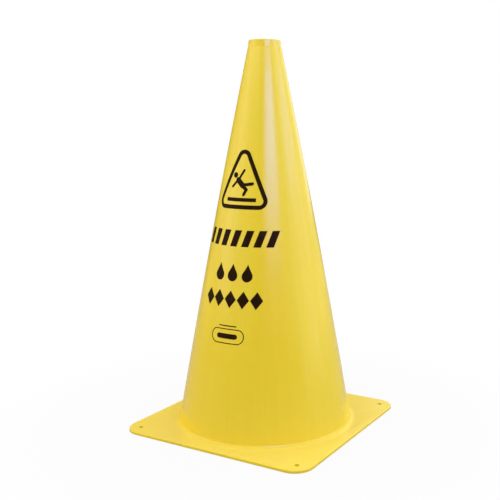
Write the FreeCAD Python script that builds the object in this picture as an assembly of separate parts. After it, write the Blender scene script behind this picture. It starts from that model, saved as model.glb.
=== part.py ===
import FreeCAD, Part
import math
import os

# Wet floor cone: a hollow tapered body seated in a square base plate, with
# ink marks printed on the front (-Y) and repeated on the back (+Y).
# Millimetres. +Z is up along the cone's axis, the origin is the middle of the
# square footprint on the floor.

Vector = FreeCAD.Vector
ORIGIN = Vector(0, 0, 0)
Z_AXIS = Vector(0, 0, 1)

HEIGHT = 660.0              # floor to the top of the collar

# base plate
BASE_SIDE = 355.0           # square footprint
BASE_CORNER_R = 32.0        # plan radius of its corners
PLATE_H = 4.4               # height of the plate's edge
PLATE_EDGE_R = 1.0          # round on the plate's upper edge
SHEET_T = 2.6               # plate thickness over the corner pockets
RIM_T = 3.0                 # turned-down rim around the underside
HOLE_INSET = 23.5           # corner hole centre to each side of the plate
HOLE_R = 4.0                # corner holes, right through
BOSS_R = 9.0                # thickened ring under each corner hole
HUB_R = 176.0               # solid ring below the cone's foot
RIB_T = 2.2                 # ribs in the corner pockets
RIB_ANGLES = (-13.0, 0.0, 13.0)   # degrees either side of each diagonal
RIB_LENGTH = 110.0          # reaches past the rim
RIB_OVERLAP = 20.0          # how far a rib starts inside the solid ring
POCKET_OVERCUT = 1.0        # the pocket tool starts this far below the floor
TOOL_Z0, TOOL_H = -5.0, 20.0      # upright tools that pass right through

# cone body
FOOT_R = 152.0              # outside of the taper, carried down to the floor
TOP_R = 26.0                # outside of the taper, carried up to HEIGHT
BOW = 2.7                   # how far the side bows out, measured level
WALL = 2.5                  # wall of the taper, square to its side
COLLAR_R = 26.9             # outside of the top collar at its rim
COLLAR_FOOT_R = 28.2        # and at its lower end, where the taper steps out
COLLAR_BORE_R = 24.7        # inside of it
COLLAR_Z = 648.2            # where the collar starts, outside
STEP_H = 0.5                # height of the step from the taper to the collar
BORE_Z0 = 648.0             # the collar's straight bore
BORE_Z1 = 659.0
SHOULDER_H = 1.2            # height of the slope below the bore
LIP_R = 0.7                 # rounds on the collar's top edges
FILLET_R = 8.0              # soft fillet between the taper and the foot flange
FLANGE_R = 162.0            # foot flange, let into the plate flush with its top
FLANGE_T = 1.8
SPIGOT_R = 150.0            # spigot that drops through the plate's opening
SPIGOT_Z0 = 0.5             # spigot stops just above the floor
MOUTH_R = SPIGOT_R - WALL   # inside of the spigot, the mouth for stacking

# stacking ribs, high up inside the cone
STACK_RIBS = 6
STACK_RIB_T = 2.0
STACK_RIB_Z0 = 625.0
STACK_RIB_R = 25.4          # their inner edges
STACK_RIB_SKIN = 0.8        # wall left outside the rib's sunk outer edge
STACK_RIB_ANGLE = 30.0      # of the first rib, degrees from +X
FIN_LENGTH, FIN_H = 40.0, 60.0    # oversize blank of a rib

# ink film
INK_T = 0.3                 # stand-in thickness of every printed mark
FILM_MARGIN = 2.0           # film above and below a mark
PRINT_REACH = 200.0         # how far a flat mark is pushed out to the front
OUTLINE_STEP = 3.0          # longest straight piece of a mark's outline

# printed marks: heights of each mark on the cone, and sizes along the surface
PRINT_SHIFT = 1.5                   # the print sits a little right of centre
TRI_Z0, TRI_Z1 = 381.7, 478.4       # outer edges of the triangle frame
TRI_HALF_W = 47.5
TRI_CORNER_R = 13.0
TRI_STROKE = 6.7
BAR_Z0, BAR_Z1, BAR_HALF_W = 394.0, 400.0, 28.3
FIGURE_LIFT = 2.6                   # figure's zero height above the floor bar
HEAD_X, HEAD_Z, HEAD_R = -13.5, 34.2, 4.6
STRIPE_Z0, STRIPE_Z1 = 321.4, 347.8
STRIPE_HALF_W = 74.0
STRIPE_COUNT = 7
STRIPE_SLANT = 8.0                  # sideways shift from bottom to top
STRIPE_FILL = 0.58                  # share of the pitch that is inked
DROP_Z0, DROP_Z1 = 265.4, 293.6
DROP_COUNT = 3
DROP_PITCH = 26.5
DROP_R = 9.2
DROP_HOLLOW = 1.12                  # 1 gives straight sides, more hollows them
DROP_SIDE_STEPS = 6
TILE_Z0, TILE_Z1 = 222.3, 250.4
TILE_COUNT = 5
TILE_PITCH = 23.2
TILE_HALF_W = 10.6
BADGE_Z0, BADGE_Z1, BADGE_HALF_W, BADGE_STROKE = 165.3, 189.3, 31.4, 1.3
BADGE_BAR_HALF_W, BADGE_BAR_H = 19.5, 8.0
RULE_Z, RULE_HALF_W, RULE_H = 193.0, 16.5, 1.6

# Round-ended limbs of the slipping figure: start (x, z), end (x, z), width;
# x from the print's centre line, z from the figure's zero height.
LIMBS = [
    ((-7.2, 26.4), (2.4, 17.4), 9.0),       # trunk
    ((-5.4, 28.6), (3.0, 42.4), 3.8),       # raised arm
    ((-8.6, 25.2), (-18.0, 15.4), 3.8),     # lowered arm
    ((3.0, 18.2), (19.4, 20.6), 5.2),       # kicked leg
    ((2.6, 16.8), (9.6, 10.8), 5.8),        # folding leg, thigh
    ((9.6, 10.8), (5.6, 2.7), 5.0),         # and shin
]


# ------------------------------------------------------- side of the taper
def side_arc():
    """Centre (x, z) and radius of the one long shallow arc of the side."""
    run, rise = TOP_R - FOOT_R, HEIGHT
    chord = math.hypot(run, rise)
    sag = BOW * rise / chord
    radius = chord * chord / (8 * sag) + sag / 2
    normal_x, normal_z = rise / chord, -run / chord     # outwards
    back = radius - sag
    return ((FOOT_R + TOP_R) / 2 - normal_x * back, rise / 2 - normal_z * back, radius)


SIDE_X, SIDE_Z, SIDE_R = side_arc()


def offset_r(z, out):
    """Radius at height z of the side moved outwards, square to itself."""
    return SIDE_X + math.sqrt((SIDE_R + out) ** 2 - (z - SIDE_Z) ** 2)


def outer_r(z):
    return offset_r(z, 0.0)


def inner_r(z):
    return offset_r(z, -WALL)


def mouth_top():
    """Height at which the hollow's side comes in to the mouth's radius."""
    return SIDE_Z + math.sqrt((SIDE_R - WALL) ** 2 - (MOUTH_R - SIDE_X) ** 2)


# ------------------------------------------------------------------ helpers
def arc(start, middle, end):
    return Part.Arc(start, middle, end).toShape()


def side_edge(z0, z1, out):
    """Edge along the moved side between two heights."""
    return arc(*[Vector(offset_r(z, out), 0, z) for z in (z0, (z0 + z1) / 2.0, z1)])


def lines(*points):
    """Straight edges through (radius, z) points of a profile."""
    ends = [Vector(x, 0, z) for x, z in points]
    return [Part.makeLine(start, end) for start, end in zip(ends, ends[1:])]


def revolve(edges):
    """Solid turned about the axis from the edges of a closed profile."""
    wire = Part.Wire(Part.__sortEdges__(edges))
    return Part.Face(wire).revolve(ORIGIN, Z_AXIS, 360).Solids[0]


def rounded_square(side, radius, z0, height):
    """Upright block with rounded corners, centred on the axis."""
    reach = side / 2.0 - radius
    corners = [(reach, -reach), (reach, reach), (-reach, reach), (-reach, -reach)]
    edges = []
    for i, (x, y) in enumerate(corners):
        angles = [math.radians(-90 + 90 * i + turn) for turn in (0, 45, 90)]
        points = [Vector(x + radius * math.cos(a), y + radius * math.sin(a), z0)
                  for a in angles]
        edges.append(arc(*points))
        next_x, next_y = corners[(i + 1) % 4]
        next_start = Vector(next_x + radius * math.cos(angles[2]),
                            next_y + radius * math.sin(angles[2]), z0)
        edges.append(Part.makeLine(points[2], next_start))
    return Part.Face(Part.Wire(edges)).extrude(Vector(0, 0, height))


def post(radius, x=0, y=0, z0=TOOL_Z0):
    """Upright cylinder used as a cutting tool."""
    return Part.makeCylinder(radius, TOOL_H, Vector(x, y, z0))


def save(name, shape):
    """Write the shape's solids to one file."""
    solids = shape.Solids
    if not solids:
        raise RuntimeError(name + " has no solid")
    out = solids[0] if len(solids) == 1 else Part.makeCompound(solids)
    out.exportStep("parts/" + name + ".step")


# ------------------------------------------------------------- base plate
def make_pockets(corner_signs, hole_reach):
    """Underside pockets between rim and solid ring, less bosses and ribs."""
    pocket = rounded_square(BASE_SIDE - 2 * RIM_T, BASE_CORNER_R - RIM_T,
                            -POCKET_OVERCUT, PLATE_H - SHEET_T + POCKET_OVERCUT)
    pocket = pocket.cut(post(HUB_R))
    for sign_x, sign_y in corner_signs:
        pocket = pocket.cut(post(BOSS_R, sign_x * hole_reach, sign_y * hole_reach))
        diagonal = math.degrees(math.atan2(sign_y, sign_x))
        for angle in RIB_ANGLES:
            rib = Part.makeBox(RIB_LENGTH, RIB_T, TOOL_H,
                               Vector(HUB_R - RIB_OVERLAP, -RIB_T / 2.0, TOOL_Z0))
            rib.rotate(ORIGIN, Z_AXIS, diagonal + angle)
            pocket = pocket.cut(rib)
    return pocket


def make_base_plate():
    plate = rounded_square(BASE_SIDE, BASE_CORNER_R, 0, PLATE_H)
    top_edges = [edge for edge in plate.Edges
                 if all(abs(v.Z - PLATE_H) < 1e-6 for v in edge.Vertexes)]
    plate = plate.makeFillet(PLATE_EDGE_R, top_edges)

    corner_signs = [(-1, -1), (-1, 1), (1, -1), (1, 1)]
    hole_reach = BASE_SIDE / 2.0 - HOLE_INSET
    plate = plate.cut(make_pockets(corner_signs, hole_reach))

    # opening for the cone's spigot, with a rebate for its foot flange
    plate = plate.cut(post(SPIGOT_R))
    plate = plate.cut(post(FLANGE_R, z0=PLATE_H - FLANGE_T))
    for sign_x, sign_y in corner_signs:
        plate = plate.cut(post(HOLE_R, sign_x * hole_reach, sign_y * hole_reach))
    return plate.removeSplitter()


# -------------------------------------------------------------- cone body
def foot_fillet():
    """Start, middle and end of the fillet from the flange's top to the side."""
    # the centre sits FILLET_R above the flange and FILLET_R outside the side
    centre_z = PLATE_H + FILLET_R
    centre = Vector(offset_r(centre_z, FILLET_R), 0, centre_z)
    to_side = (Vector(SIDE_X, 0, SIDE_Z) - centre).normalize()
    halfway = (to_side - Z_AXIS).normalize()    # between straight down and that
    return (Vector(centre.x, 0, PLATE_H), centre + halfway * FILLET_R,
            centre + to_side * FILLET_R)


def make_shell(shoulder_z):
    """Spigot, flange, taper and collar in one turned piece."""
    fillet = foot_fillet()
    flange_z = PLATE_H - FLANGE_T
    step_z = COLLAR_Z - STEP_H
    lip_mid = LIP_R * (1 - math.sqrt(0.5))
    mouth_z = mouth_top()

    # outside, from the spigot up to the collar's rim
    edges = lines((MOUTH_R, SPIGOT_Z0), (SPIGOT_R, SPIGOT_Z0), (SPIGOT_R, flange_z),
                  (FLANGE_R, flange_z), (FLANGE_R, PLATE_H), (fillet[0].x, PLATE_H))
    edges += [arc(*fillet), side_edge(fillet[2].z, step_z, 0.0)]
    edges += lines((outer_r(step_z), step_z), (COLLAR_FOOT_R, COLLAR_Z),
                   (COLLAR_R, HEIGHT - LIP_R))
    edges.append(arc(Vector(COLLAR_R, 0, HEIGHT - LIP_R),
                     Vector(COLLAR_R - lip_mid, 0, HEIGHT - lip_mid),
                     Vector(COLLAR_R - LIP_R, 0, HEIGHT)))
    edges += lines((COLLAR_R - LIP_R, HEIGHT), (COLLAR_BORE_R + LIP_R, HEIGHT))

    # inside, from the rim down to the mouth
    edges.append(arc(Vector(COLLAR_BORE_R + LIP_R, 0, HEIGHT),
                     Vector(COLLAR_BORE_R + lip_mid, 0, HEIGHT - lip_mid),
                     Vector(COLLAR_BORE_R, 0, BORE_Z1)))
    edges += lines((COLLAR_BORE_R, BORE_Z1), (COLLAR_BORE_R, BORE_Z0),
                   (inner_r(shoulder_z), shoulder_z))
    edges.append(side_edge(shoulder_z, mouth_z, -WALL))
    edges += lines((MOUTH_R, mouth_z), (MOUTH_R, SPIGOT_Z0))
    return revolve(edges)


def make_cone_body():
    shoulder_z = BORE_Z0 - SHOULDER_H
    body = make_shell(shoulder_z)

    # stacking ribs: upright fins whose lower ends land on the collar of the
    # cone below; each is trimmed to a ring whose outside lies within the wall
    ring = Part.makeCone(outer_r(STACK_RIB_Z0) - STACK_RIB_SKIN,
                         outer_r(shoulder_z) - STACK_RIB_SKIN,
                         shoulder_z - STACK_RIB_Z0, Vector(0, 0, STACK_RIB_Z0))
    fin_z = STACK_RIB_Z0 - 5
    ring = ring.cut(Part.makeCylinder(STACK_RIB_R, FIN_H, Vector(0, 0, fin_z)))
    for i in range(STACK_RIBS):
        fin = Part.makeBox(FIN_LENGTH, STACK_RIB_T, FIN_H,
                           Vector(0, -STACK_RIB_T / 2.0, fin_z))
        fin.rotate(ORIGIN, Z_AXIS, STACK_RIB_ANGLE + 360.0 * i / STACK_RIBS)
        body = body.fuse(ring.common(fin))
    return body.removeSplitter()


# ------------------------------------------------------- wrapping of marks
# Outlines are lists of (x, z): arc length around the cone, and height.
def on_plane(x, z):
    """Point of a mark as seen from the front, looking along +Y."""
    radius = outer_r(z)
    return Vector(radius * math.sin((x + PRINT_SHIFT) / radius), 0, z)


def face_of(outline):
    """Flat face of an outline, long edges split so it follows the curve."""
    points = []
    for (x0, z0), (x1, z1) in zip(outline, outline[1:] + outline[:1]):
        pieces = max(1, math.ceil(math.hypot(x1 - x0, z1 - z0) / OUTLINE_STEP))
        points += [on_plane(x0 + (x1 - x0) * k / pieces, z0 + (z1 - z0) * k / pieces)
                   for k in range(pieces)]
    return Part.Face(Part.makePolygon(points + points[:1]))


def film(z0, z1):
    """Thin skin lying on the side of the cone between two heights."""
    edges = [side_edge(z0, z1, 0.0), side_edge(z0, z1, INK_T)]
    for z in (z0, z1):
        edges += lines((outer_r(z), z), (offset_r(z, INK_T), z))
    return revolve(edges)


def wrap(face):
    """Wrap a flat face on the front of the cone as a film of ink."""
    box = face.BoundBox
    solid = face.extrude(Vector(0, -PRINT_REACH, 0))
    return solid.common(film(box.ZMin - FILM_MARGIN, box.ZMax + FILM_MARGIN))


def mark(outline):
    return wrap(face_of(outline))


def frame(outer, inner):
    """Mark between two outlines."""
    return wrap(face_of(outer).cut(face_of(inner)))


def row(outlines):
    return Part.makeCompound([mark(outline) for outline in outlines])


def centred(count, pitch):
    """Places of a row of equal steps about the print's centre line."""
    return [(i - (count - 1) / 2.0) * pitch for i in range(count)]


# ---------------------------------------------------------------- outlines
def arc_points(x, z, radius, start, end, steps):
    """Points on an arc about (x, z); angles in degrees."""
    angles = [math.radians(start + (end - start) * i / steps) for i in range(steps + 1)]
    return [(x + radius * math.cos(a), z + radius * math.sin(a)) for a in angles]


def capsule(start, end, width, steps=8):
    """Outline of a round-ended bar."""
    angle = math.degrees(math.atan2(end[1] - start[1], end[0] - start[0]))
    return (arc_points(*end, width / 2.0, angle - 90, angle + 90, steps)
            + arc_points(*start, width / 2.0, angle + 90, angle + 270, steps))


def rectangle(half_width, z0, z1):
    return [(-half_width, z0), (half_width, z0), (half_width, z1), (-half_width, z1)]


def rounded_outline(corners, radius, steps):
    """Outline of a convex polygon, counter-clockwise, with round corners."""
    corners = [Vector(x, z, 0) for x, z in corners]
    outline = []
    for i, corner in enumerate(corners):
        to_last = (corners[i - 1] - corner).normalize()
        to_next = (corners[(i + 1) % len(corners)] - corner).normalize()
        half = to_last.getAngle(to_next) / 2
        centre = corner + (to_last + to_next).normalize() * (radius / math.sin(half))
        tangent = radius / math.tan(half)
        start = corner + to_last * tangent - centre
        end = corner + to_next * tangent - centre
        start_angle = math.degrees(math.atan2(start.y, start.x))
        end_angle = math.degrees(math.atan2(end.y, end.x))
        if end_angle < start_angle:
            end_angle += 360
        outline += arc_points(centre.x, centre.y, radius, start_angle, end_angle, steps)
    return outline


def triangle_outline(inset, steps):
    """Outline of the triangle frame, moved in by an inset."""
    # centres of the outer corner rounds, which touch TRI_Z0, TRI_Z1 and
    # +-TRI_HALF_W
    low_z = TRI_Z0 + TRI_CORNER_R
    top_z = TRI_Z1 - TRI_CORNER_R
    low_x = TRI_HALF_W - TRI_CORNER_R
    # the right side is the line normal . point = distance
    length = math.hypot(low_x, top_z - low_z)
    normal_x, normal_z = (top_z - low_z) / length, low_x / length
    distance = normal_z * top_z + TRI_CORNER_R - inset
    base_z = TRI_Z0 + inset
    base_x = (distance - normal_z * base_z) / normal_x
    corners = [(-base_x, base_z), (base_x, base_z), (0, distance / normal_z)]
    return rounded_outline(corners, TRI_CORNER_R - inset, steps)


def drop_outline(x):
    """Round bowl, then sides drawn slightly hollow up to the tip."""
    centre_z = DROP_Z0 + DROP_R
    half = math.degrees(math.acos(DROP_R / (DROP_Z1 - centre_z)))
    bowl = arc_points(x, centre_z, DROP_R, 90 + half, 450 - half, 30)
    side_x, side_z = bowl[-1]
    shares = [k / DROP_SIDE_STEPS for k in range(1, DROP_SIDE_STEPS)]
    right = [(x + (side_x - x) * (1 - t) ** DROP_HOLLOW,
              side_z + (DROP_Z1 - side_z) * t) for t in shares]
    left = [(2 * x - right_x, z) for right_x, z in reversed(right)]
    return bowl + right + [(x, DROP_Z1)] + left


# ---------------------------------------------------------- printed marks
def make_figure():
    """Slipping figure, thrown backwards: its head and its joined limbs."""
    zero_z = BAR_Z1 + FIGURE_LIFT
    head = mark(arc_points(HEAD_X, zero_z + HEAD_Z, HEAD_R, 0, 345, 23))
    limbs = [mark(capsule((x0, zero_z + z0), (x1, zero_z + z1), width))
             for (x0, z0), (x1, z1), width in LIMBS]
    body = limbs[0]
    for limb in limbs[1:]:
        body = body.fuse(limb)
    return head, body.removeSplitter()


def make_stripe_row():
    """Slanted hazard stripes."""
    # the pitch is stretched so the last stripe ends close to the right limit
    pitch = (2 * STRIPE_HALF_W - STRIPE_SLANT) / STRIPE_COUNT
    pitch += pitch * (1 - STRIPE_FILL) / STRIPE_COUNT
    width = pitch * STRIPE_FILL
    starts = [-STRIPE_HALF_W + i * pitch for i in range(STRIPE_COUNT)]
    return row([[(x, STRIPE_Z0), (x + width, STRIPE_Z0),
                 (x + width + STRIPE_SLANT, STRIPE_Z1),
                 (x + STRIPE_SLANT, STRIPE_Z1)] for x in starts])


def make_drop_row():
    """Water drops."""
    return row([drop_outline(x) for x in centred(DROP_COUNT, DROP_PITCH)])


def make_tile_row():
    """Floor tiles set on their corners."""
    mid_z = (TILE_Z0 + TILE_Z1) / 2.0
    return row([[(x, TILE_Z0), (x + TILE_HALF_W, mid_z),
                 (x, TILE_Z1), (x - TILE_HALF_W, mid_z)]
                for x in centred(TILE_COUNT, TILE_PITCH)])


def badge_shape(half_width, half_height):
    """Round-ended outline centred on the badge."""
    mid_z = (BADGE_Z0 + BADGE_Z1) / 2.0
    reach = half_width - half_height
    return capsule((-reach, mid_z), (reach, mid_z), 2 * half_height, steps=14)


def make_badge_outline():
    half_height = (BADGE_Z1 - BADGE_Z0) / 2.0
    return frame(badge_shape(BADGE_HALF_W, half_height),
                 badge_shape(BADGE_HALF_W - BADGE_STROKE, half_height - BADGE_STROKE))


def make_marks():
    """Every mark of the front print, by name."""
    head, body = make_figure()
    return {
        "triangle_frame": frame(triangle_outline(0.0, steps=14),
                                triangle_outline(TRI_STROKE, steps=10)),
        "figure_head": head,
        "figure_body": body,
        "floor_bar": mark(rectangle(BAR_HALF_W, BAR_Z0, BAR_Z1)),
        "stripe_row": make_stripe_row(),
        "drop_row": make_drop_row(),
        "tile_row": make_tile_row(),
        "badge_outline": make_badge_outline(),
        "badge_bar": mark(badge_shape(BADGE_BAR_HALF_W, BADGE_BAR_H / 2.0)),
        # thin line just above the badge
        "badge_rule": mark(rectangle(RULE_HALF_W, RULE_Z, RULE_Z + RULE_H)),
    }


os.makedirs("parts", exist_ok=True)

save("base_plate", make_base_plate())
save("cone_body", make_cone_body())
for name, shape in make_marks().items():
    save("front_" + name, shape)
    back = shape.copy()
    back.rotate(ORIGIN, Z_AXIS, 180)
    save("back_" + name, back)
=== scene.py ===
import math

import bmesh
import bpy
from mathutils import Matrix, Vector


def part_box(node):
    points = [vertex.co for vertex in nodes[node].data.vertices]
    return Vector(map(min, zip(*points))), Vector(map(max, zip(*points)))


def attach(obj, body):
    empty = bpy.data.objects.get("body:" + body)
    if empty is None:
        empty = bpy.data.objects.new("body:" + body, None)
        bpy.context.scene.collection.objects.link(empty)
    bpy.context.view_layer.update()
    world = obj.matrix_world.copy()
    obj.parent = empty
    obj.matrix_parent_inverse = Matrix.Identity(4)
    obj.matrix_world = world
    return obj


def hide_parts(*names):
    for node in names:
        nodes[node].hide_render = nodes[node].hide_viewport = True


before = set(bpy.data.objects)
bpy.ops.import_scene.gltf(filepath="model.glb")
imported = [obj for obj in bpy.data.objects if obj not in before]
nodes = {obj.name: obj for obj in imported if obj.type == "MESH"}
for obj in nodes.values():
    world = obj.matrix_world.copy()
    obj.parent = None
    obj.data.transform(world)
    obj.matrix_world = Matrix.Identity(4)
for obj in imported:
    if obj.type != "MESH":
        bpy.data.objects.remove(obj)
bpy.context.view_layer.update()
scene = bpy.context.scene

# ---------------------------------------------------------------- dimensions
# height, flange radius, plate half-width and plate height are read from the
# frame where it states them, so that these are not fitted; the other sizes
# below are given
_, cone_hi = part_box("cone_body")
plate_lo, plate_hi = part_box("base_plate")
MM = 0.001
HEIGHT = cone_hi.z
FLANGE_R = cone_hi.x                 # the foot flange is the body's widest part
HALF = plate_hi.x
PLATE_H = plate_hi.z

FOOT_R = 152.0 * MM
TOP_R = 26.0 * MM
BOW = 2.7 * MM
WALL = 2.5 * MM
COLLAR_R = 26.9 * MM
COLLAR_FOOT_R = 28.2 * MM
COLLAR_BORE_R = 24.7 * MM
COLLAR_Z = 648.2 * MM
BORE_Z0 = 648.0 * MM
FILLET_R = 8.0 * MM
FLANGE_T = 1.8 * MM
SPIGOT_R = 150.0 * MM
MOUTH_R = 147.5 * MM
SPIGOT_Z0 = 0.5 * MM

# the side of the taper is one long shallow arc
_dx, _dz = TOP_R - FOOT_R, HEIGHT
_chord = math.hypot(_dx, _dz)
_sag = BOW * _dz / _chord
SIDE_R = _chord * _chord / (8 * _sag) + _sag / 2
SIDE_X = (FOOT_R + TOP_R) / 2 - _dz / _chord * (SIDE_R - _sag)
SIDE_Z = HEIGHT / 2 + _dx / _chord * (SIDE_R - _sag)


def offset_r(z, out):
    """Radius at height z of the side moved outwards, square to itself."""
    return SIDE_X + math.sqrt((SIDE_R + out) ** 2 - (z - SIDE_Z) ** 2)


def outer_r(z):
    return offset_r(z, 0.0)


def inner_r(z):
    return offset_r(z, -WALL)


def mouth_top():
    """Height at which the hollow's side comes in to the mouth's radius."""
    low, high = 0.0, HEIGHT
    for _ in range(60):
        mid = (low + high) / 2
        low, high = (mid, high) if inner_r(mid) > MOUTH_R else (low, mid)
    return low


def link(obj):
    scene.collection.objects.link(obj)
    return obj


# ------------------------------------------------------------------ geometry
def round_profile(points, radii, step_deg=12.0):
    """Closed (r, z) outline with its corners rounded by short arcs."""
    out = []
    n = len(points)
    for i in range(n):
        p0, p1, p2 = (Vector(points[i - 1]), Vector(points[i]),
                      Vector(points[(i + 1) % n]))
        r = radii[i]
        a, b = (p0 - p1), (p2 - p1)
        la, lb = a.length, b.length
        a, b = a / la, b / lb
        half = math.acos(max(-1.0, min(1.0, a.dot(b)))) / 2.0
        if r <= 0 or half > math.pi / 2 - 0.01:
            out.append(tuple(p1))
            continue
        d = min(r / math.tan(half), la * 0.48, lb * 0.48)
        r = d * math.tan(half)
        c = p1 + (a + b).normalized() * (r / math.sin(half))
        s, e = p1 + a * d, p1 + b * d
        a0 = math.atan2(s.y - c.y, s.x - c.x)
        a1 = math.atan2(e.y - c.y, e.x - c.x)
        turn = (a1 - a0 + math.pi) % (2 * math.pi) - math.pi
        k = max(3, int(abs(math.degrees(turn)) / step_deg))
        for j in range(k + 1):
            t = a0 + turn * j / k
            out.append((c.x + r * math.cos(t), c.y + r * math.sin(t)))
    return out


def densify(profile, gaps):
    """Adds rings along straight runs, and a close one beside each corner."""
    out = []
    n = len(profile)

    def turn(i):
        a = Vector(profile[i]) - Vector(profile[i - 1])
        b = Vector(profile[(i + 1) % n]) - Vector(profile[i])
        return math.degrees(a.angle(b, 0.0))

    for i in range(n):
        p, q = Vector(profile[i]), Vector(profile[(i + 1) % n])
        out.append(tuple(p))
        length = (q - p).length
        if length > 1.2 * MM:
            edge = min(0.25 * MM, length * 0.15)
            if turn(i) > 2.0:
                out.append(tuple(p + (q - p) * (edge / length)))
            k = max(1, int(round(length / gaps)))
            for j in range(1, k):
                out.append(tuple(p + (q - p) * (j / k)))
            if turn((i + 1) % n) > 2.0:
                out.append(tuple(p + (q - p) * (1 - edge / length)))
    return out


def lathe(name, profile, segments):
    """Solid of revolution about Z from a closed (r, z) outline."""
    bm = bmesh.new()
    rings = []
    for i in range(segments):
        a = 2 * math.pi * i / segments
        ca, sa = math.cos(a), math.sin(a)
        rings.append([bm.verts.new((r * ca, r * sa, z)) for r, z in profile])
    n = len(profile)
    for i in range(segments):
        r0, r1 = rings[i], rings[(i + 1) % segments]
        for j in range(n):
            k = (j + 1) % n
            bm.faces.new((r0[j], r1[j], r1[k], r0[k]))
    bmesh.ops.recalc_face_normals(bm, faces=bm.faces)
    mesh = bpy.data.meshes.new(name)
    bm.to_mesh(mesh)
    bm.free()
    for p in mesh.polygons:
        p.use_smooth = True
    return link(bpy.data.objects.new(name, mesh))


def cone_shell():
    """The tapered body: flange, soft foot fillet, taper, collar, hollow."""
    cz = PLATE_H + FILLET_R
    cr = offset_r(cz, FILLET_R)
    reach = math.hypot(cr - SIDE_X, cz - SIDE_Z)
    a0 = -90.0
    a1 = math.degrees(math.atan2(SIDE_Z - cz, SIDE_X - cr)) % 360.0 - 360.0
    arc = []
    for i in range(0, 19):
        t = math.radians(a0 + (a1 - a0) * i / 18)
        arc.append((cr + FILLET_R * math.cos(t), cz + FILLET_R * math.sin(t)))
    foot_z, step_z = arc[-1][1], COLLAR_Z - 0.5 * MM
    rows = 46
    side = [(outer_r(z), z) for z in
            [foot_z + (step_z - foot_z) * k / rows for k in range(1, rows)]]
    z_in, sh = mouth_top(), BORE_Z0 - 1.2 * MM
    hollow = [(inner_r(z), z) for z in
              [sh + (z_in - sh) * k / rows for k in range(1, rows)]]
    pts = [
        ((MOUTH_R, SPIGOT_Z0), 0.5 * MM), ((SPIGOT_R, SPIGOT_Z0), 0.5 * MM),
        ((SPIGOT_R, PLATE_H - FLANGE_T), 0),
        ((FLANGE_R, PLATE_H - FLANGE_T), 0), ((FLANGE_R, PLATE_H), 0)]
    pts += [(p, 0) for p in arc + side]
    pts += [
        ((outer_r(step_z), step_z), 0.7 * MM),
        ((COLLAR_FOOT_R, COLLAR_Z), 0.6 * MM),
        ((COLLAR_R, HEIGHT), 0.7 * MM),
        ((COLLAR_BORE_R, HEIGHT), 0.7 * MM),
        ((COLLAR_BORE_R, BORE_Z0), 0.5 * MM),
        ((inner_r(sh), sh), 0.6 * MM)]
    pts += [(p, 0) for p in hollow]
    pts += [((MOUTH_R, z_in), 3.0 * MM)]
    profile = round_profile([p for p, _ in pts], [r for _, r in pts])
    return lathe("cone_moulding", densify(profile, 16 * MM), 288)


cone = cone_shell()

# stacking ribs high up inside the hollow, joined to the wall
RIB_Z0, RIB_Z1, RIB_IN, RIB_T = 625 * MM, 646.8 * MM, 25.4 * MM, 2.0 * MM
bm = bmesh.new()
for i in range(6):
    a = math.radians(30 + 60 * i)
    x0, x1, x2 = RIB_IN, outer_r(RIB_Z0) - 0.8 * MM, outer_r(RIB_Z1) - 0.8 * MM
    side = []
    for y in (-RIB_T / 2, RIB_T / 2):
        side.append([bm.verts.new((x * math.cos(a) - y * math.sin(a),
                                   x * math.sin(a) + y * math.cos(a), z))
                     for x, z in ((x0, RIB_Z0), (x1, RIB_Z0),
                                  (x2, RIB_Z1), (x0, RIB_Z1))])
    s, t = side
    bm.faces.new(s)
    bm.faces.new(list(reversed(t)))
    for j in range(4):
        k = (j + 1) % 4
        bm.faces.new((s[j], t[j], t[k], s[k]))
bmesh.ops.recalc_face_normals(bm, faces=bm.faces)
rib_mesh = bpy.data.meshes.new("ribs")
bm.to_mesh(rib_mesh)
bm.free()
ribs = link(bpy.data.objects.new("ribs", rib_mesh))
union = cone.modifiers.new("join", "BOOLEAN")
union.operation = "UNION"
union.solver = "EXACT"
union.object = ribs
dg = bpy.context.evaluated_depsgraph_get()
joined = bpy.data.meshes.new_from_object(cone.evaluated_get(dg))
cone.modifiers.clear()
old = cone.data
cone.data = joined
bpy.data.meshes.remove(old)
bpy.data.objects.remove(ribs)
for p in cone.data.polygons:
    p.use_smooth = True
cone.data.set_sharp_from_angle(angle=math.radians(40))
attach(cone, "root")
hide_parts("cone_body")


def plate_moulding():
    """The plate's own shape with its edges eased as a moulding's are."""
    src = nodes["base_plate"]
    bm = bmesh.new()
    bm.from_mesh(src.data)
    bm.transform(src.matrix_world)
    bmesh.ops.remove_doubles(bm, verts=bm.verts, dist=2e-6)
    bmesh.ops.dissolve_limit(bm, angle_limit=math.radians(0.4),
                             verts=bm.verts, edges=bm.edges)

    def on_seam(e):
        # the rebate stays crisp, so that the flange closes it without a gap
        return all(math.hypot(v.co.x, v.co.y) < FLANGE_R + 0.2 * MM
                   for v in e.verts)

    sharp = [e for e in bm.edges if len(e.link_faces) == 2
             and e.calc_face_angle(0.0) > math.radians(35) and not on_seam(e)]
    bmesh.ops.bevel(bm, geom=sharp, offset=0.35 * MM, offset_type="OFFSET",
                    segments=3, profile=0.5, affect="EDGES",
                    clamp_overlap=True)
    bmesh.ops.triangulate(bm, faces=[f for f in bm.faces if len(f.verts) > 4])
    bmesh.ops.recalc_face_normals(bm, faces=bm.faces)
    mesh = bpy.data.meshes.new("plate_moulding")
    bm.to_mesh(mesh)
    bm.free()
    for p in mesh.polygons:
        p.use_smooth = True
    mesh.set_sharp_from_angle(angle=math.radians(38))
    o = link(bpy.data.objects.new("plate_moulding", mesh))
    wn = o.modifiers.new("weighted_normals", "WEIGHTED_NORMAL")
    wn.keep_sharp = True
    wn.weight = 90
    return o


plate = plate_moulding()
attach(plate, "root")
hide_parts("base_plate")


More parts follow.
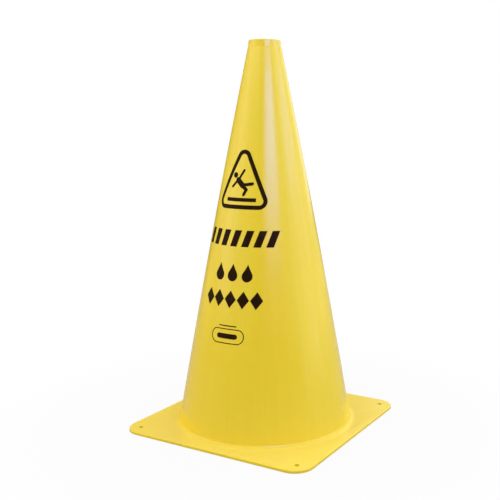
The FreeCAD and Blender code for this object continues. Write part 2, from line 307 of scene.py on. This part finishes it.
# ----------------------------------------------------------------- materials
class Graph:
    """Short-hand for building a procedural material."""

    def __init__(self, name):
        self.material = bpy.data.materials.new(name)
        self.material.use_nodes = True
        self.nodes = self.material.node_tree.nodes
        self.links = self.material.node_tree.links
        self.nodes.clear()

    def add(self, kind, ins=None, out=0, **props):
        n = self.nodes.new("ShaderNode" + kind)
        for k, v in props.items():
            setattr(n, k, v)
        for k, v in (ins or {}).items():
            if isinstance(v, bpy.types.NodeSocket):
                self.links.new(v, n.inputs[k])
            else:
                n.inputs[k].default_value = v
        return n.outputs[out]

    def noise(self, vector, scale, detail=3.0, rough=0.5):
        return self.add("TexNoise", {"Vector": vector, "Scale": scale,
                                     "Detail": detail, "Roughness": rough})

    def math(self, op, a, b=0.0, clamp=False):
        return self.add("Math", {0: a, 1: b}, operation=op, use_clamp=clamp)

    def ramp(self, value, lo, hi, out_lo=0.0, out_hi=1.0):
        """Smooth step from one range of values to another."""
        return self.add("MapRange", {"Value": value, "From Min": lo,
                                     "From Max": hi, "To Min": out_lo,
                                     "To Max": out_hi},
                        interpolation_type="SMOOTHSTEP")

    def mix(self, factor, a, b, blend="MIX"):
        return self.add("Mix", {0: factor, 6: a, 7: b}, out=2,
                        data_type="RGBA", blend_type=blend)

    def tint(self, color, value):
        """Multiplies a colour by a grey value."""
        grey = self.add("CombineColor", {0: value, 1: value, 2: value})
        return self.mix(1.0, color, grey, "MULTIPLY")

    def finish(self, bsdf):
        end = self.nodes.new("ShaderNodeOutputMaterial")
        self.links.new(bsdf, end.inputs[0])
        return self.material


YELLOW_A = (0.855, 0.640, 0.017, 1)
YELLOW_B = (0.885, 0.664, 0.021, 1)
WORN = (0.900, 0.760, 0.240, 1)        # stress-whitened plastic on edges
# dark colour for the moulded-in specks, also used for the painted shade round
# the foot and near the floor
SPECK_AND_SHADE = (0.420, 0.300, 0.050, 1)
TOP_SHEEN = (0.890, 0.690, 0.088, 1)      # painted sheen: up-facing faces paler and less saturated
ROUGHNESS = 0.22


def yellow_plastic():
    g = Graph("yellow_plastic")
    at = g.add("TexCoord", out=3)
    xyz = g.add("SeparateXYZ", {0: at}, out=0)
    z = xyz.node.outputs[2]

    # directions round the axis, so that the streaks run up the cone's side
    flat = g.add("VectorMath", {0: at, 1: (1.0, 1.0, 0.0)},
                 operation="MULTIPLY")
    around = g.add("VectorMath", {0: flat}, operation="NORMALIZE")
    wide = g.add("VectorMath", {0: around, 3: 14.0}, operation="SCALE")
    climb = g.add("CombineXYZ", {2: g.math("MULTIPLY", z, 2.2)})
    flow_at = g.add("VectorMath", {0: wide, 1: climb}, operation="ADD")

    slow = g.noise(at, 5.0, 3.0)
    flow = g.noise(flow_at, 1.6, 4.0, 0.55)
    mottle = g.noise(at, 85.0, 5.0, 0.6)
    grain = g.noise(at, 1500.0, 2.0)
    peel = g.noise(at, 190.0, 2.0)

    color = g.mix(slow, YELLOW_A, YELLOW_B)
    color = g.tint(color, g.ramp(flow, 0.25, 0.75, 0.988, 1.010))
    color = g.tint(color, g.ramp(mottle, 0.25, 0.75, 0.990, 1.008))

    # painted sheen: faces that look up are made paler, standing in for the top
    # light's sheen, broken up by noise
    normal = g.add("NewGeometry", out=1)
    up = g.add("SeparateXYZ", {0: normal}, out=2)
    sheen_breakup = g.ramp(g.noise(at, 24.0, 4.0, 0.6), 0.25, 0.75, 0.80, 1.0)
    painted_sheen = g.math("MULTIPLY", g.ramp(up, 0.78, 0.99), sheen_breakup)
    color = g.mix(painted_sheen, color, TOP_SHEEN)

    # stray specks of darker pigment moulded into the plastic
    cells = g.add("TexVoronoi", {"Vector": at, "Scale": 150.0},
                  feature="F1")
    near = g.ramp(cells, 0.045, 0.075, 1.0, 0.0)
    pick = g.ramp(g.add("SeparateColor", {0: cells.node.outputs[1]}),
                  0.975, 0.98)
    speck = g.math("MULTIPLY", near, pick)
    color = g.mix(g.math("MULTIPLY", speck, 0.22), color, SPECK_AND_SHADE)

    # handling marks: short fine scratches, mostly low down where it is kicked
    skew = g.add("VectorMath", {0: at, 1: (260.0, 260.0, 38.0)},
                 operation="MULTIPLY")
    lines = g.noise(skew, 1.0, 1.5, 0.4)
    patch = g.ramp(g.noise(at, 16.0, 3.0), 0.52, 0.68)
    low = g.ramp(z, 0.02, 0.30, 1.0, 0.12)
    scratch = g.math("MULTIPLY", g.math("MULTIPLY",
                                        g.ramp(lines, 0.66, 0.72), patch), low)
    color = g.mix(g.math("MULTIPLY", scratch, 0.10), color, WORN)

    # worn edges: where the surface turns sharply, broken up by noise
    eased = g.add("Bevel", {"Radius": 0.0016}, samples=6)
    agree = g.add("VectorMath", {0: normal, 1: eased}, out=1,
                  operation="DOT_PRODUCT")
    edge = g.ramp(g.math("SUBTRACT", 1.0, agree), 0.015, 0.16)
    broken = g.ramp(g.noise(at, 130.0, 5.0, 0.7), 0.36, 0.62, 0.15, 1.0)
    wear = g.math("MULTIPLY", edge, broken)
    color = g.mix(g.math("MULTIPLY", wear, 0.18), color, WORN)

    # painted shade: darker in the corner round the foot, from an occlusion
    # mask, and along the lowest few millimetres near the floor, broken up by
    # noise
    tucked = g.add("AmbientOcclusion", {"Distance": 0.012}, out=1, samples=6)
    corner = g.ramp(tucked, 0.45, 0.95, 1.0, 0.0)
    shade_breakup = g.ramp(g.noise(at, 42.0, 6.0, 0.65), 0.40, 0.70)
    corner_shade = g.math("MULTIPLY", corner, shade_breakup)
    foot = g.math("MULTIPLY", g.ramp(z, 0.0, 0.0042, 0.30, 0.0), shade_breakup)
    color = g.mix(g.math("MULTIPLY", g.math("MAXIMUM", corner_shade, foot), 0.13),
                  color, SPECK_AND_SHADE)

    # satin finish, a little uneven: smudges duller, worn places duller still
    rough = g.ramp(g.noise(at, 11.0, 4.0, 0.6), 0.30, 0.70,
                   ROUGHNESS - 0.015, ROUGHNESS + 0.025)
    rough = g.math("ADD", rough, g.ramp(mottle, 0.3, 0.7, -0.012, 0.012))
    rough = g.math("ADD", rough, g.math("MULTIPLY", wear, 0.16))
    rough = g.math("ADD", rough, g.math("MULTIPLY", scratch, 0.06))
    rough = g.math("ADD", rough, g.math("MULTIPLY", corner_shade, 0.12))
    # the plate and the fillet come out of the mould a little more matt
    rough = g.math("ADD", rough, g.ramp(z, 0.0075, 0.0150, 0.13, 0.0))

    bump = g.add("Bump", {"Strength": 0.10, "Distance": 0.00004,
                          "Height": grain})
    bump = g.add("Bump", {"Strength": 0.10, "Distance": 0.00010,
                          "Height": peel, "Normal": bump})
    bump = g.add("Bump", {"Strength": 0.10, "Distance": 0.00012,
                          "Height": flow, "Normal": bump})

    bsdf = g.add("BsdfPrincipled", {
        "Base Color": color, "Roughness": rough, "IOR": 1.5,
        "Specular Tint": (1.0, 0.99, 0.95, 1), "Normal": bump})
    return g.finish(bsdf)


INK = (0.0160, 0.0062, 0.0010, 1)
INK_THIN = (0.0300, 0.0160, 0.0030, 1)
INK_HOLE = (0.2200, 0.1500, 0.0200, 1)


def black_ink():
    g = Graph("black_ink")
    at = g.add("TexCoord", out=3)
    xyz = g.add("SeparateXYZ", {0: at}, out=0)
    x, z = xyz.node.outputs[0], xyz.node.outputs[2]

    cover = g.noise(at, 75.0, 5.0, 0.6)
    fine = g.noise(at, 900.0, 2.0)
    color = g.mix(g.ramp(cover, 0.46, 0.78), INK, INK_THIN)

    # pinholes where the ink missed the plastic
    cells = g.add("TexVoronoi", {"Vector": at, "Scale": 420.0}, feature="F1")
    near = g.ramp(cells, 0.10, 0.20, 1.0, 0.0)
    pick = g.ramp(g.add("SeparateColor", {0: cells.node.outputs[1]}),
                  0.955, 0.965)
    hole = g.math("MULTIPLY", near, pick)
    color = g.mix(g.math("MULTIPLY", hole, 0.55), color, INK_HOLE)

    # the weave of the printing screen, left in the ink's surface
    weave = g.math("MULTIPLY",
                   g.math("SINE", g.math("MULTIPLY", x, 9000.0)),
                   g.math("SINE", g.math("MULTIPLY", z, 9000.0)))
    height = g.math("ADD", g.math("MULTIPLY", weave, 0.25), fine)
    bump = g.add("Bump", {"Strength": 0.12, "Distance": 0.00003,
                          "Height": height})
    rough = g.ramp(cover, 0.30, 0.75, 0.46, 0.60)
    rough = g.math("ADD", rough, g.math("MULTIPLY", hole, 0.10))
    bsdf = g.add("BsdfPrincipled", {
        "Base Color": color, "Roughness": rough, "IOR": 1.45,
        "Specular IOR Level": 0.08, "Specular Tint": (1.0, 0.72, 0.42, 1),
        "Normal": bump})
    return g.finish(bsdf)


yellow = yellow_plastic()
ink = black_ink()
for piece in (cone, plate):
    piece.data.materials.clear()
    piece.data.materials.append(yellow)
for name, obj in nodes.items():
    mat = yellow if name in ("base_plate", "cone_body") else ink
    if not obj.material_slots:
        obj.data.materials.append(mat)
    for s in obj.material_slots:
        s.material = mat

# --------------------------------------------------------------------- stage
WORLD = (1.000, 1.000, 1.000)
FLOOR_ALBEDO = 0.42
FLOOR_GLOW = 0.95         # share of the floor's look that is plain white


def new_material(name):
    m = bpy.data.materials.new(name)
    m.use_nodes = True
    m.node_tree.nodes.clear()
    return m, m.node_tree.nodes, m.node_tree.links


def stage_floor():
    """Plain pale floor whose look fades to plain white away from the object,
    with no visible line.
    """
    bm = bmesh.new()
    bmesh.ops.create_grid(bm, x_segments=8, y_segments=8, size=14.0)
    mesh = bpy.data.meshes.new("studio_floor")
    bm.to_mesh(mesh)
    bm.free()
    o = link(bpy.data.objects.new("studio_floor", mesh))
    m, n, l = new_material("studio_floor")
    out = n.new("ShaderNodeOutputMaterial")
    d = n.new("ShaderNodeBsdfDiffuse")
    d.inputs[0].default_value = (FLOOR_ALBEDO,) * 3 + (1,)
    e = n.new("ShaderNodeEmission")
    e.inputs[0].default_value = (1, 1, 1, 1)
    e.inputs[1].default_value = 1.0
    lp = n.new("ShaderNodeLightPath")
    tc = n.new("ShaderNodeTexCoord")
    far = n.new("ShaderNodeVectorMath")
    far.operation = "LENGTH"
    l.new(tc.outputs["Object"], far.inputs[0])
    fade = n.new("ShaderNodeMapRange")
    fade.interpolation_type = "SMOOTHSTEP"
    fade.inputs["From Min"].default_value = 0.20
    fade.inputs["From Max"].default_value = 0.60
    fade.inputs["To Min"].default_value = FLOOR_GLOW
    fade.inputs["To Max"].default_value = 1.0
    l.new(far.outputs["Value"], fade.inputs["Value"])
    k = n.new("ShaderNodeMath")
    k.operation = "MULTIPLY"
    l.new(fade.outputs[0], k.inputs[1])
    l.new(lp.outputs["Is Camera Ray"], k.inputs[0])
    mix = n.new("ShaderNodeMixShader")
    l.new(k.outputs[0], mix.inputs[0])
    l.new(d.outputs[0], mix.inputs[1])
    l.new(e.outputs[0], mix.inputs[2])
    l.new(mix.outputs[0], out.inputs[0])
    mesh.materials.append(m)
    return o


floor = stage_floor()
scene.view_settings.view_transform = "Standard"
scene.view_settings.look = "None"

world = bpy.data.worlds.new("studio")
scene.world = world
world.use_nodes = True
wn_, wl_ = world.node_tree.nodes, world.node_tree.links
wn_.clear()
w_out = wn_.new("ShaderNodeOutputWorld")
w_bg = wn_.new("ShaderNodeBackground")
w_cam = wn_.new("ShaderNodeBackground")
w_mix = wn_.new("ShaderNodeMixShader")
w_lp = wn_.new("ShaderNodeLightPath")
WORLD_STRENGTH = 0.1566
w_bg.inputs[0].default_value = WORLD + (1,)
w_bg.inputs[1].default_value = WORLD_STRENGTH
w_cam.inputs[0].default_value = (1, 1, 1, 1)
w_cam.inputs[1].default_value = 1.0
wl_.new(w_lp.outputs["Is Camera Ray"], w_mix.inputs[0])
wl_.new(w_bg.outputs[0], w_mix.inputs[1])
wl_.new(w_cam.outputs[0], w_mix.inputs[2])
wl_.new(w_mix.outputs[0], w_out.inputs[0])

# camera: fitted so that the plate, holes and taper fall where they are seen.
# Its picture is cropped off-centre, which the lens shift reproduces.
CAM_C = Vector((0.7182981, -1.1335838, 0.5121723))
CAM_F = Vector((-0.48434414, 0.8660452, -0.12400187))
CAM_R = Vector((0.87248869, 0.48861226, 0.00464115))
CAM_U = Vector((-0.06460828, 0.10594231, 0.99227113))
CAM_FOCAL = 778.0652                  # for a picture 500 wide
CAM_SHIFT = {"shift_x": (250.0 - 307.4839) / 500.0,
             "shift_y": (226.4087 - 250.0) / 500.0}

cam_data = bpy.data.cameras.new("camera")
cam = link(bpy.data.objects.new("camera", cam_data))
cam_data.sensor_width = 36.0
cam_data.lens = CAM_FOCAL / 500.0 * 36.0
cam_data.clip_start = 0.01
cam_data.clip_end = 50.0
cam.matrix_world = Matrix((
    (CAM_R.x, CAM_U.x, -CAM_F.x, CAM_C.x),
    (CAM_R.y, CAM_U.y, -CAM_F.y, CAM_C.y),
    (CAM_R.z, CAM_U.z, -CAM_F.z, CAM_C.z),
    (0, 0, 0, 1)))
scene.camera = cam

# the shift belongs to this viewpoint: it fades out when the camera is moved,
# so that views from elsewhere stay centred
home = link(bpy.data.objects.new("camera_home", None))
home.location = CAM_C
home.empty_display_size = 0.02
for prop, value in CAM_SHIFT.items():
    setattr(cam_data, prop, value)
    curve = cam_data.driver_add(prop)
    for m in list(curve.modifiers):
        curve.modifiers.remove(m)
    curve.driver.type = "SUM"
    var = curve.driver.variables.new()
    var.type = "LOC_DIFF"
    var.targets[0].id = cam
    var.targets[1].id = home
    while curve.keyframe_points:
        curve.keyframe_points.remove(curve.keyframe_points[0])
    for distance, amount in ((0.0, value), (0.002, value), (0.05, 0.0)):
        k = curve.keyframe_points.insert(distance, amount)
        k.interpolation = "LINEAR"
    curve.extrapolation = "CONSTANT"
CAM_AZ = math.degrees(math.atan2(CAM_C.x, -CAM_C.y))


def softbox(name, azimuth, dist, z, width, height, color, power, aim_z=0.33):
    """Rectangular light standing at an azimuth measured from the camera's."""
    a = math.radians(CAM_AZ + azimuth)
    data = bpy.data.lights.new(name, "AREA")
    data.shape = "RECTANGLE"
    data.size, data.size_y = width, height
    data.color = color
    data.energy = power
    o = link(bpy.data.objects.new(name, data))
    o.location = (dist * math.sin(a), -dist * math.cos(a), z)
    d = Vector((0, 0, aim_z)) - o.location
    o.rotation_euler = d.to_track_quat("-Z", "Y").to_euler()
    o.visible_camera = False
    return o


LIGHTS = [
    # name, azimuth from the camera, distance, height, width, tall, colour, W
    ("ring_l140", -140, 2.4, 1.2, 1.6, 1.8, (1.000, 0.747, 0.000), 1.71),
    ("ring_l120", -120, 2.4, 1.2, 1.6, 1.8, (1.000, 0.924, 0.684), 4.90),
    ("ring_l100", -100, 2.4, 1.2, 1.6, 1.8, (1.000, 0.945, 0.843), 6.43),
    ("ring_l080", -80, 2.4, 1.2, 1.6, 1.8, (1.000, 0.978, 0.946), 13.16),
    ("ring_l060", -60, 2.4, 1.2, 1.6, 1.8, (1.000, 0.938, 0.851), 3.25),
    ("ring_l040", -40, 2.4, 1.2, 1.6, 1.8, (1.000, 0.971, 0.938), 4.85),
    ("ring_r050", 50, 2.4, 1.2, 1.6, 1.8, (0.995, 1.000, 0.999), 5.11),
    ("ring_r070", 70, 2.4, 1.2, 1.6, 1.8, (0.995, 0.999, 1.000), 7.63),
    ("ring_r090", 90, 2.4, 1.2, 1.6, 1.8, (0.996, 1.000, 0.999), 8.71),
    ("ring_r110", 110, 2.4, 1.2, 1.6, 1.8, (0.988, 1.000, 0.952), 4.41),
    ("ring_r130", 130, 2.4, 1.2, 1.6, 1.8, (0.977, 1.000, 0.878), 6.37),
    ("ring_r150", 150, 2.4, 1.2, 1.6, 1.8, (0.975, 1.000, 0.907), 8.08),
    ("left_front_high", -48, 2.4, 2.3, 1.6, 1, (1.000, 0.982, 0.950), 8.58),
    ("right_front_high", 56, 2.4, 2.3, 1.6, 1, (0.974, 1.000, 0.989), 3.46),
    ("front_high_left", -12, 2.4, 2.45, 1.4, 0.7, (1.000, 0.990, 0.978), 6.58),
    ("rear_high", 180, 2.4, 2.3, 2, 0.9, (1.000, 0.696, 0.000), 1.28),
    ("top_wide", 0, 0.05, 2.9, 3.2, 3.2, (0.997, 1.000, 0.992), 38.55),
    ("top_rear", 180, 1.8, 2.9, 2.4, 1.4, (1.000, 0.986, 0.923), 16.42),
    ("low_l120", -120, 2.4, 0.17, 1.6, 0.28, (1.000, 0.851, 0.375), 1.41),
    ("low_l080", -80, 2.4, 0.17, 1.6, 0.28, (1.000, 0.514, 0.251), 0.74),
    ("low_r075", 75, 2.4, 0.17, 1.6, 0.28, (1.000, 0.994, 0.940), 1.75),
    ("low_r100", 100, 2.4, 0.17, 1.6, 0.28, (1.000, 0.981, 0.871), 1.58),
    ("low_r130", 130, 2.4, 0.17, 1.6, 0.28, (1.000, 0.921, 0.611), 1.30),
    ("strip_1", 18, 2.4, 1.05, 1.35, 0.3, (0.000, 0.194, 1.000), 6.91),
    ("strip_2", 18, 2.4, 1.35, 1.35, 0.3, (0.000, 0.325, 1.000), 12.12),
    ("strip_3", 18, 2.4, 1.65, 1.35, 0.3, (0.138, 0.318, 1.000), 12.98),
    ("strip_4", 18, 2.4, 1.95, 1.35, 0.3, (1.000, 0.471, 0.583), 2.00),
    ("strip_wide_0", 18, 2.4, 0.6, 2.2, 0.4, (1.000, 0.000, 0.003), 2.71),
    ("strip_wide_1", 18, 2.4, 1, 2.2, 0.4, (1.000, 0.288, 0.000), 3.12),
    ("strip_wide_2", 18, 2.4, 1.4, 2.2, 0.4, (0.589, 0.166, 1.000), 4.26),
    ("strip_wide_3", 18, 2.4, 1.8, 2.2, 0.4, (0.119, 0.195, 1.000), 6.74),
    ("band_low_72", 72, 2.4, 0.32, 0.8, 0.3, (1.000, 0.569, 0.000), 0.70),
    ("band_high_72", 72, 2.4, 1.25, 0.8, 0.55, (0.000, 0.268, 1.000), 4.21),
    ("band_high_84", 84, 2.4, 1.25, 0.8, 0.55, (0.000, 0.000, 1.000), 2.24),
    ("band_low_96", 96, 2.4, 0.32, 0.8, 0.3, (1.000, 0.244, 0.000), 0.65),
    ("band_mid_96", 96, 2.4, 0.72, 0.8, 0.45, (0.809, 0.297, 1.000), 0.62),
    ("band_high_96", 96, 2.4, 1.25, 0.8, 0.55, (0.009, 0.309, 1.000), 3.28),
]
for spec in LIGHTS:
    softbox(*spec)
